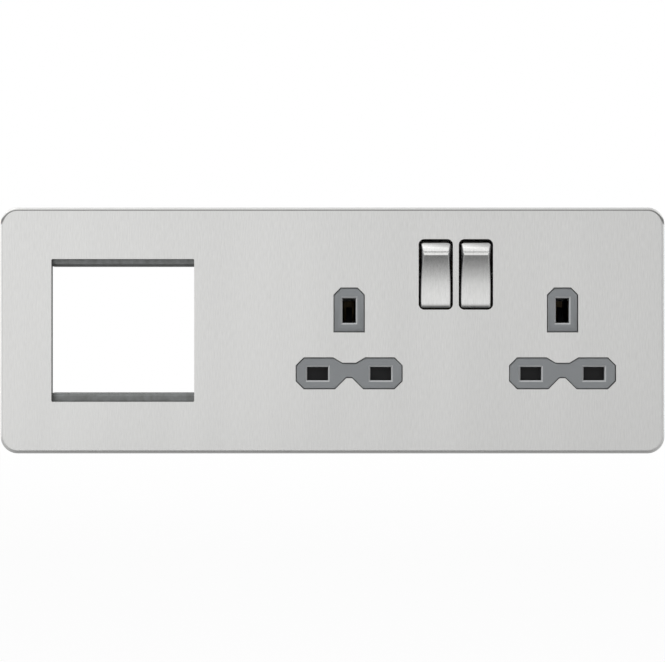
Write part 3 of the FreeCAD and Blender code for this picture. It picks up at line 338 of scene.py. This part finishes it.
def spread_foot(cap):
    xs, ys, zs = [[point.co[i] for point in cap.data.vertices] for i in range(3)]
    middle, back, low, high = (min(xs) + max(xs)) / 2, max(ys), min(zs), max(zs)
    for point in cap.data.vertices:
        down = (high - point.co.z) / (high - low)
        above = (down - WAIST_FROM) / (WAIST_AT - WAIST_FROM)
        below = (WAIST_TO - down) / (WAIST_TO - WAIST_AT)
        waist = min(1, max(0, min(above, below)))
        grown = CAP_FOOT_SPREAD * min(1, down * SPREAD_RATE) - CAP_WAIST * waist
        depth = min(1, max(0, (back - CAP_BACK_RIM - point.co.y) / CAP_SHIFT_DEPTH))
        point.co.x = middle + (point.co.x - middle) * (1 + grown * depth)


# the lower end of the face rolls over before it meets the end of the cap
ROLL = 0.0009
ROLL_STEPS = 6
ROLL_DEPTH = 0.0006
ON_CUT = 0.000005


def roll_foot(cap):
    form = bmesh.new()
    form.from_mesh(cap.data)
    low = min(point.co.z for point in form.verts)
    front = min(point.co.y for point in form.verts if point.co.z < low + ROLL)
    for step in range(1, ROLL_STEPS):
        height = ROLL * (1 - math.cos(math.pi / 2 * step / ROLL_STEPS))
        bmesh.ops.bisect_plane(
            form, geom=form.verts[:] + form.edges[:] + form.faces[:], dist=ON_CUT,
            plane_co=(0, 0, low + height), plane_no=(0, 0, 1))
    for point in form.verts:
        short = min(1, max(0, 1 - (point.co.z - low) / ROLL))
        near = min(1, max(0, 1 - (point.co.y - front - CAP_EASE) / ROLL_DEPTH))
        point.co.y += ROLL * (1 - math.sqrt(1 - short * short)) * near
    shade_round(form)
    form.to_mesh(cap.data)
    form.free()


for side in ("left", "right"):
    cap = eased_copy(
        f"rocker_cap_{side}", f"brushed_cap_{side}", around_cap_face, CAP_EASE, steps=3)
    spread_foot(cap)
    roll_foot(cap)
    coat(cap, cap_steel)
    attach(cap, f"rocker_{side}")

# Rocker bodies and clip frame.
# Both are moulded in black nylon: the bodies turn on trunnions in the moulding's wells, and the
# frame lies between plate and yoke, seen only as a dark line inside the aperture.
FLOW_PER_METRE = 90
FLOW_MIDDLE = 0.5
FLOW_IN_GLOSS = 2


def moulded_group():
    """Spark-eroded mould texture: fine pits, and faint flow marks in the colour and the gloss."""
    tree, given, made = new_group("moulded_skin", {
        "Colour": (0.5, 0.5, 0.5, 1), "Grain per metre": 5000.0,
        "Roughness": 0.5, "Unevenness": 0.06,
    }, ["Colour", "Roughness", "Height"])
    nodes, links = tree.nodes, tree.links
    place = nodes.new("ShaderNodeTexCoord").outputs["Object"]
    pits = grain(tree, place, given.outputs["Grain per metre"], detail=2)
    flow = grain(tree, place, FLOW_PER_METRE, detail=4, distortion=0.6)
    swing = calculate(tree, "SUBTRACT", flow, FLOW_MIDDLE)
    amount = calculate(tree, "MULTIPLY", swing, given.outputs["Unevenness"])
    shade = nodes.new("ShaderNodeVectorMath")
    shade.operation = "SCALE"
    links.new(given.outputs["Colour"], shade.inputs[0])
    links.new(calculate(tree, "ADD", amount, 1), shade.inputs["Scale"])
    rough = calculate(tree, "MULTIPLY_ADD", amount, FLOW_IN_GLOSS, given.outputs["Roughness"])
    links.new(shade.outputs["Vector"], made.inputs["Colour"])
    links.new(rough, made.inputs["Roughness"])
    links.new(pits, made.inputs["Height"])
    return tree


MOULDED = moulded_group()

black_nylon, tree, bsdf = new_material("black_nylon")
lay_finish(tree, MOULDED, bsdf, {
    "Colour": (0.018, 0.018, 0.019, 1), "Grain per metre": 6000,
    "Roughness": 0.5, "Unevenness": 0.2}, (0.3, 0.00003))
finish_with(black_nylon, "rocker_body_left", "rocker_body_right", "clip_frame")

# Mounting yoke.
# Pressed from mild steel and zinc plated; its turned-back lips hold a module and show in the
# aperture. The plating has a faint blotchy spangle and fine draw marks.
GRIT_PER_METRE = 4200
TARNISH_IN_GLOSS = 0.14


def plated_group():
    """Thin plating on pressed metal: soft blotches, slight tarnish and a fine grit."""
    tree, given, made = new_group("plated_metal", {
        "Colour": (0.6, 0.6, 0.6, 1), "Tarnish": (0.4, 0.4, 0.4, 1),
        "Blotches per metre": 260.0, "Roughness": 0.4,
    }, ["Colour", "Roughness", "Height"])
    place = tree.nodes.new("ShaderNodeTexCoord").outputs["Object"]
    blotch = grain(tree, place, given.outputs["Blotches per metre"], detail=5, roughness=0.65)
    grit = grain(tree, place, GRIT_PER_METRE, detail=1)
    dulled = map_range(tree, blotch, start=0.35, end=0.7)
    colour = mix_colours(tree, dulled, given.outputs["Colour"], given.outputs["Tarnish"])
    rough = calculate(
        tree, "MULTIPLY_ADD", dulled, TARNISH_IN_GLOSS, given.outputs["Roughness"])
    tree.links.new(colour, made.inputs["Colour"])
    tree.links.new(rough, made.inputs["Roughness"])
    tree.links.new(grit, made.inputs["Height"])
    return tree


PLATED = plated_group()
PLATED_BUMP = (0.15, 0.00002)

zinc, tree, bsdf = new_material("zinc_plated_steel", metallic=1)
lay_finish(tree, PLATED, bsdf, {
    # painted shade: the plating's colours are set dark, for the lips that lie in the plate's
    # shadow
    "Colour": (0.25, 0.26, 0.26, 1), "Tarnish": (0.22, 0.225, 0.22, 1),
    "Blotches per metre": 500, "Roughness": 0.42}, PLATED_BUMP)
finish_with(zinc, "mounting_yoke")

# Socket moulding.
# One grey urea moulding carries the raised slot faces, the rocker wells and the walls behind.
# Its skin is satin with the mould's fine spark texture.

# painted light: a slope is paler where it faces neither straight forward nor straight sideways
PAINTED_LIGHT_SLOPES = [(0.3, 0), (0.5, 1), (0.85, 1), (0.96, 0)]


def painted_bevel_light_group():
    """Painted light: the countersunk rims of the slots, and the outline of the raised faces, are
    a little paler.
    """
    tree, given, made = new_group(
        "painted_bevel_light",
        {"Colour": (0.2, 0.2, 0.2, 1), "Painted light colour": (0.3, 0.3, 0.3, 1)}, ["Colour"])
    forward = calculate(tree, "ABSOLUTE", surface_lean(tree)["Y"])
    slanted = grey_ramp(tree, forward, PAINTED_LIGHT_SLOPES)
    painted_tint = mix_colours(tree, slanted, given.outputs["Colour"], given.outputs["Painted light colour"])
    tree.links.new(painted_tint, made.inputs["Colour"])
    return tree


urea_grey, tree, bsdf = new_material("grey_urea")
skin = lay_finish(tree, MOULDED, bsdf, {
    "Colour": (0.218, 0.228, 0.236, 1), "Grain per metre": 5200,
    "Roughness": 0.42, "Unevenness": 0.08}, (0.25, 0.00003))
# painted light makes the slots' countersunk rims and the faces' eased outline paler
tint_through(tree, painted_bevel_light_group(), skin, bsdf, "Painted light colour", (0.42, 0.43, 0.435, 1))
BOSS_FRONT = -0.0047
BOSS_EASE = 0.0002
ON_BOSS_FRONT = 0.00001
# a normal's share along Y, at most this on a side wall and at least that on a front face
ON_SIDE_WALL, ON_FRONT_FACE = 0.1, 0.9


def around_slot_faces(edge):
    # the outline of the raised faces, not the countersunk slots in them
    if any(abs(point.co.y - BOSS_FRONT) > ON_BOSS_FRONT for point in edge.verts):
        return False
    side, front = sorted(abs(face.normal.y) for face in edge.link_faces)
    return side < ON_SIDE_WALL and front > ON_FRONT_FACE


grey = eased_copy("socket_moulding", "grey_moulding", around_slot_faces, BOSS_EASE, steps=2)
coat(grey, urea_grey)
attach(grey, "base")

# Shutters.
# Dark glass-filled nylon sliders close the lower slots until an earth pin pushes them down.
# Each runs in the moulding's own guides.
shutter_nylon, tree, bsdf = new_material("dark_shutter_nylon")
bsdf.inputs["Specular IOR Level"].default_value = 0.25
lay_finish(tree, MOULDED, bsdf, {
    "Colour": (0.011, 0.011, 0.012, 1), "Grain per metre": 4200,
    "Roughness": 0.45, "Unevenness": 0.15}, (0.3, 0.00003))
finish_with(shutter_nylon, "shutter_left", "shutter_right")

# Rear cover and plungers.
# The cover is pale urea, screwed on from behind; the plungers, which ride on the moving
# contacts, are moulded in the same pale stock.
urea_pale, tree, bsdf = new_material("pale_urea")
lay_finish(tree, MOULDED, bsdf, {
    "Colour": (0.72, 0.715, 0.69, 1), "Grain per metre": 4600,
    "Roughness": 0.4, "Unevenness": 0.05}, (0.2, 0.00003))
finish_with(urea_pale, "rear_cover", "rocker_plungers_left", "rocker_plungers_right")

# Contacts, bars and terminals.
# The strips are blanked and folded from half-hard brass, and painted a dark brown as shade for
# where they lie inside the socket; the terminal blocks are sawn from drawn brass bar and keep
# their colour.
# painted shade: the strips' brass is set far darker than the terminals'
painted_shade_brass, tree, bsdf = new_material("painted_shade_brass_strip", metallic=1)
lay_finish(tree, PLATED, bsdf, {
    "Colour": (0.13, 0.10, 0.06, 1), "Tarnish": (0.08, 0.06, 0.035, 1),
    "Blotches per metre": 420, "Roughness": 0.42}, PLATED_BUMP)
finish_with(
    painted_shade_brass, "neutral_contact_left", "neutral_contact_right", "live_contact_left",
    "live_contact_right", "neutral_supply_bar", "live_supply_bar", "earth_bar")

drawn_brass, tree, bsdf = new_material("drawn_brass_bar", metallic=1)
lay_finish(tree, PLATED, bsdf, {
    "Colour": (0.62, 0.46, 0.20, 1), "Tarnish": (0.46, 0.32, 0.14, 1),
    "Blotches per metre": 420, "Roughness": 0.28}, PLATED_BUMP)
finish_with(drawn_brass, "neutral_terminal", "live_terminal", "earth_terminals")

# Moving contacts.
# Copper alloy see-saws, blanked and folded, two under each rocker.
# Their colour is painted a dark brown, as shade for where they lie inside the socket.
copper, tree, bsdf = new_material("copper_alloy", metallic=1)
# painted shade: the copper's colour is set dark brown
lay_finish(tree, PLATED, bsdf, {
    "Colour": (0.14, 0.08, 0.055, 1), "Tarnish": (0.08, 0.045, 0.03, 1),
    "Blotches per metre": 500, "Roughness": 0.42}, PLATED_BUMP)
finish_with(copper, "moving_contacts_left", "moving_contacts_right")

# Screws and springs.
# Small steel fasteners with a clear zinc finish, and coil springs of drawn wire.
# Each spring stands on a ledge of the moulding, under its shutter's bar.
bright_steel, tree, bsdf = new_material("bright_steel", metallic=1)
lay_finish(tree, PLATED, bsdf, {
    "Colour": (0.70, 0.68, 0.62, 1), "Tarnish": (0.52, 0.50, 0.44, 1),
    "Blotches per metre": 700, "Roughness": 0.3}, PLATED_BUMP)
finish_with(bright_steel, "terminal_screws", "cover_screws")
for side in ("left", "right"):
    spring = eased_copy(f"shutter_spring_{side}", f"return_spring_{side}")
    coat(spring, bright_steel)
    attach(spring, "base")
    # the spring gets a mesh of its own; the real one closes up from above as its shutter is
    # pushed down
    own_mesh(spring)

# Studio.
# A pale floor well below the plate sweeps up behind it like a roll of white paper.
# Soft light comes from the upper left, with a weak fill from the right.
FLOOR_Z = -0.17
FLOOR_FRONT = -1.1
FLOOR_BACK = 1.0
FLOOR_HALF_WIDTH = 1.6
SWEEP = 0.35
SWEEP_STEPS = 16
WALL_RISE = 1.2


def sweep_floor():
    form = bmesh.new()
    front = form.verts.new((-FLOOR_HALF_WIDTH, FLOOR_FRONT, FLOOR_Z))
    back = form.verts.new((-FLOOR_HALF_WIDTH, FLOOR_BACK, FLOOR_Z))
    form.edges.new((front, back))
    made = bmesh.ops.spin(
        form, geom=[back], cent=(-FLOOR_HALF_WIDTH, FLOOR_BACK, FLOOR_Z + SWEEP),
        axis=(1, 0, 0), angle=math.pi / 2, steps=SWEEP_STEPS, use_merge=False)
    top = made["geom_last"][0]
    lifted = bmesh.ops.extrude_vert_indiv(form, verts=[top])["verts"]
    bmesh.ops.translate(form, verts=lifted, vec=(0, 0, WALL_RISE))
    wide = bmesh.ops.extrude_edge_only(form, edges=form.edges[:])["geom"]
    far_side = [part for part in wide if isinstance(part, bmesh.types.BMVert)]
    bmesh.ops.translate(form, verts=far_side, vec=(2 * FLOOR_HALF_WIDTH, 0, 0))
    bmesh.ops.recalc_face_normals(form, faces=form.faces[:])
    mesh = bpy.data.meshes.new("studio_sweep")
    form.to_mesh(mesh)
    form.free()
    for face in mesh.polygons:
        face.use_smooth = True
    return bpy.data.objects.new("studio_sweep", mesh)


def mix_shaders(tree, share, first, second):
    node = tree.nodes.new("ShaderNodeMixShader")
    tree.links.new(share, node.inputs["Fac"])
    tree.links.new(first, node.inputs[1])
    tree.links.new(second, node.inputs[2])
    return node.outputs["Shader"]


def seen_directly(tree, path):
    return calculate(
        tree, "MAXIMUM", path.outputs["Is Camera Ray"], path.outputs["Is Transmission Ray"])


floor = sweep_floor()
bpy.context.scene.collection.objects.link(floor)
paper = bpy.data.materials.new("white_paper")
paper.use_nodes = True
tree = paper.node_tree
tree.nodes.clear()
out = tree.nodes.new("ShaderNodeOutputMaterial")
matt = tree.nodes.new("ShaderNodeBsdfDiffuse")
matt.inputs["Color"].default_value = (0.82, 0.82, 0.82, 1)
glow = tree.nodes.new("ShaderNodeEmission")
glow.inputs["Strength"].default_value = 1
path = tree.nodes.new("ShaderNodeLightPath")
spot = tree.nodes.new("ShaderNodeTexCoord")
place = tree.nodes.new("ShaderNodeSeparateXYZ")
tree.links.new(spot.outputs["Object"], place.inputs["Vector"])

# seen directly, the upright part is pure white and the floor keeps the shadow
FLOOR_GLOW = 0.95
GLOW_FROM, GLOW_TO = FLOOR_Z + 0.005, FLOOR_Z + 0.08
rise = map_range(tree, place.outputs["Z"], GLOW_FROM, GLOW_TO, to_start=FLOOR_GLOW)
share = calculate(tree, "MULTIPLY", seen_directly(tree, path), rise)
shown = mix_shaders(tree, share, matt.outputs["BSDF"], glow.outputs["Emission"])

# mirrored in metal, the floor is pale at its front, dark under the plate and grey behind
TONES_FROM, TONES_TO = -1.1, 1.4
FLOOR_TONES = [(0.0, 0.97), (0.13, 0.95), (0.21, 0.84), (0.25, 0.66), (0.28, 0.47),
               (0.31, 0.17), (0.37, 0.12), (0.41, 0.5), (0.62, 0.3), (0.84, 0.35)]
tones = grey_ramp(
    tree, map_range(tree, place.outputs["Y"], TONES_FROM, TONES_TO), FLOOR_TONES)

# to the sides it is an even pale grey, so the steel stays light from other angles
ASIDE_FROM, ASIDE_TO = 0.14, 0.24
off_axis = calculate(tree, "ABSOLUTE", place.outputs["X"])
wide = tree.nodes.new("ShaderNodeMix")
wide.data_type = "RGBA"
wide.inputs["B"].default_value = (0.62, 0.62, 0.62, 1)
tree.links.new(map_range(tree, off_axis, ASIDE_FROM, ASIDE_TO), wide.inputs["Factor"])
tree.links.new(tones, wide.inputs["A"])
mirrored = tree.nodes.new("ShaderNodeEmission")
tree.links.new(wide.outputs["Result"], mirrored.inputs["Color"])
choice = mix_shaders(
    tree, path.outputs["Is Glossy Ray"], shown, mirrored.outputs["Emission"])
tree.links.new(choice, out.inputs["Surface"])
floor.data.materials.append(paper)

world = bpy.data.worlds.new("studio")
bpy.context.scene.world = world
world.use_nodes = True
tree = world.node_tree
tree.nodes.clear()
out = tree.nodes.new("ShaderNodeOutputWorld")
where = tree.nodes.new("ShaderNodeTexCoord")
toward = tree.nodes.new("ShaderNodeSeparateXYZ")
tree.links.new(where.outputs["Generated"], toward.inputs["Vector"])

# from straight down to straight up, the room that metal mirrors
ROOM = [(0.0, 0.2), (0.34, 0.3), (0.46, 0.96), (0.56, 0.98), (0.585, 0.18), (0.62, 0.18),
        (0.65, 1.0), (0.81, 1.0), (0.95, 0.75), (1.0, 0.5)]
bands = grey_ramp(tree, map_range(tree, toward.outputs["Z"], -1, 1), ROOM)

# the room is paler behind the plate, and its light falls off from left to right
BEHIND_TO = 0.15
IN_FRONT, BEHIND = 1.5, 2.6
SIDES = [(0.0, 0.72), (0.2, 0.74), (0.36, 1.12), (0.48, 0.82), (0.65, 0.5), (0.85, 0.6)]
behind = map_range(tree, toward.outputs["Y"], 0, BEHIND_TO, IN_FRONT, BEHIND)
sides = grey_ramp(tree, map_range(tree, toward.outputs["X"], -1, 1), SIDES)
mirrored = tree.nodes.new("ShaderNodeBackground")
tree.links.new(bands, mirrored.inputs["Color"])
tree.links.new(calculate(tree, "MULTIPLY", behind, sides), mirrored.inputs["Strength"])
even = tree.nodes.new("ShaderNodeBackground")
even.inputs["Color"].default_value = (0.3, 0.3, 0.3, 1)
white = tree.nodes.new("ShaderNodeBackground")
white.inputs["Color"].default_value = (1, 1, 1, 1)
path = tree.nodes.new("ShaderNodeLightPath")
room = mix_shaders(tree, path.outputs["Is Glossy Ray"],
                   even.outputs["Background"], mirrored.outputs["Background"])
blend = mix_shaders(tree, seen_directly(tree, path), room, white.outputs["Background"])
tree.links.new(blend, out.inputs["Surface"])


def softbox(name, place, width, height, watts):
    data = bpy.data.lights.new(name, "AREA")
    data.shape = "RECTANGLE"
    data.size = width
    data.size_y = height
    data.energy = watts
    lamp = bpy.data.objects.new(name, data)
    bpy.context.scene.collection.objects.link(lamp)
    # it points at the middle of the plate
    lamp.location = place
    lamp.rotation_euler = (-Vector(place)).to_track_quat("-Z", "Y").to_euler()
    # metal mirrors the room's own pale bands, not the lamps
    lamp.visible_glossy = False


softbox("key_softbox", (-0.55, -0.62, 1.1), width=0.45, height=0.45, watts=15)
softbox("fill_softbox", (0.7, -1.0, 0.2), width=0.9, height=0.6, watts=1.5)

# Camera.
# Straight on, as in the photograph, and just under a metre from the plate's face, which fills
# the picture from side to side.
STAND_OFF = 0.95
FACE_Y = -0.005
EYE_Z = -0.0002
WIDTH_SEEN = 0.2337
lens = bpy.data.cameras.new("straight_on")
lens.sensor_fit = "HORIZONTAL"
lens.sensor_width = 36
lens.angle = 2 * math.atan(WIDTH_SEEN / 2 / STAND_OFF)
lens.clip_start = 0.01
eye = bpy.data.objects.new("straight_on", lens)
bpy.context.scene.collection.objects.link(eye)
eye.location = (0, FACE_Y - STAND_OFF, EYE_Z)
eye.rotation_euler = (math.pi / 2, 0, 0)
bpy.context.scene.camera = eye
bpy.context.scene.view_settings.view_transform = "Standard"
